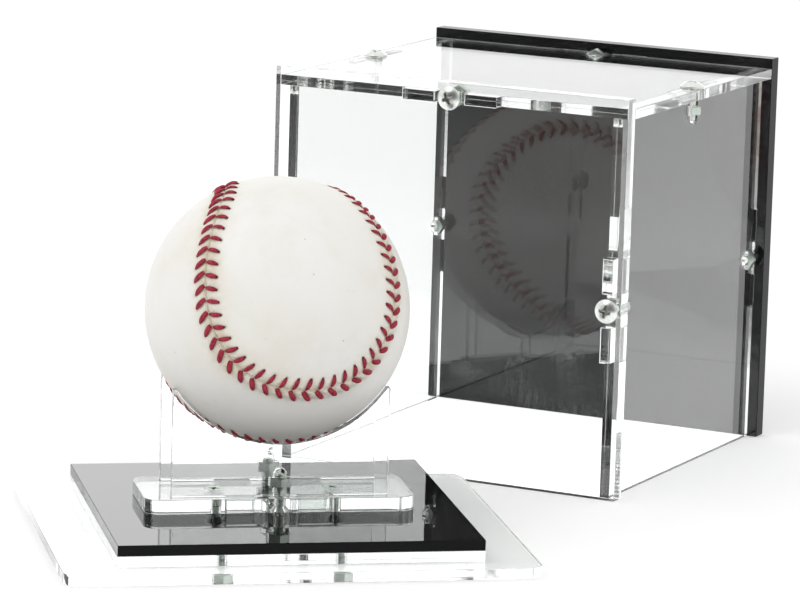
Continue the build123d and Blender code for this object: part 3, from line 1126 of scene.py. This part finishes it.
def studio_world():
    """Even light; white to the camera, in gloss and through glass, but dim where the front is mirrored."""
    world = bpy.data.worlds.new("Studio")
    world.use_nodes = True
    tree = Tree(world.node_tree)
    path = tree.nodes.new("ShaderNodeLightPath").outputs
    seen = tree.most(tree.most(path["Is Camera Ray"], path["Is Glossy Ray"]), path["Is Transmission Ray"])
    strength = tree.range(seen, 0.0, 1.0, 0.86, 1.0)
    ahead = tree.dot(tree.add("ShaderNodeTexCoord", out="Generated"), FRONT_SIDE)
    mirrored = tree.math("MINIMUM", path["Glossy Depth"], 1.0)
    dim = tree.times(mirrored, tree.range(ahead, 0.42, 0.82, 0.0, 0.9))
    strength = tree.times(strength, tree.math("SUBTRACT", 1.0, dim))
    tree.add("ShaderNodeOutputWorld", tree.add("ShaderNodeBackground", (1, 1, 1, 1), strength))
    bpy.context.scene.world = world


class CASE_OT_stage(bpy.types.Operator):
    """Set up the floor, the soft lights, the white surround and the camera"""

    bl_idname = "case.stage"
    bl_label = "Studio"

    def execute(self, context):
        signs = ((-1, -1), (1, -1), (1, 1), (-1, 1))
        corners = [(x * FLOOR_HALF, y * FLOOR_HALF, FLOOR_LEVEL) for x, y in signs]
        floor = link("floor", mesh_from("floor", corners, [(0, 1, 2, 3)]))
        floor.data.materials.append(finish_of("Studio floor", floor_material, tuple(colours().floor)))
        studio_world()
        soft_lamp("key", (-0.8, -0.3, 1.4), (0.03, 0.03, 0.05), 0.9, 4.2)
        soft_lamp("fill", (1.0, -1.2, 0.9), (0.03, 0.03, 0.05), 1.2, 0.8)
        soft_lamp("backdrop", (0.5, 2.6, 0.85), (0.05, 0.1, 0.08), 3.2, 5.0, 0.6)
        soft_lamp("low backdrop", (0.5, 2.6, 0.46), (0.05, 0.1, 0.08), 3.2, 0.65, 0.18)
        place_camera()
        context.scene.view_settings.view_transform = "Standard"
        cycles = context.scene.cycles
        cycles.max_bounces = cycles.transmission_bounces = cycles.glossy_bounces = LIGHT_BOUNCES
        cycles.transparent_max_bounces = LIGHT_BOUNCES // 2
        return {"FINISHED"}


PIECE_OPERATORS = (
    CASE_OT_clear_sheets, CASE_OT_black_sheets, CASE_OT_dome_bolts, CASE_OT_countersunk_screws, CASE_OT_nuts,
    CASE_OT_ball_leather, CASE_OT_ball_stitches, CASE_OT_ball_inside, CASE_OT_stage)


class CASE_PT_panel(bpy.types.Panel):
    """Lists the display case's operators, sizes and colours"""

    bl_idname = "CASE_PT_panel"
    bl_label = "Display case"
    bl_space_type = "VIEW_3D"
    bl_region_type = "UI"
    bl_category = "Display case"

    def draw(self, context):
        for made in PIECE_OPERATORS:
            self.layout.operator(made.bl_idname)
        for group in (sizes(), colours()):
            for name in group.bl_rna.properties.keys():
                if name not in ("rna_type", "name"):
                    self.layout.prop(group, name)


CLASSES = (CaseSizes, CaseColours, *PIECE_OPERATORS, CASE_PT_panel)


def register():
    for made in CLASSES:
        bpy.utils.register_class(made)
    bpy.types.Scene.case_sizes = PointerProperty(type=CaseSizes)
    bpy.types.Scene.case_colours = PointerProperty(type=CaseColours)


def unregister():
    del bpy.types.Scene.case_sizes
    del bpy.types.Scene.case_colours
    for made in reversed(CLASSES):
        bpy.utils.unregister_class(made)


def main():
    register()
    for made in PIECE_OPERATORS:
        group, name = made.bl_idname.split(".")
        getattr(getattr(bpy.ops, group), name)()


if __name__ == "__main__":
    main()
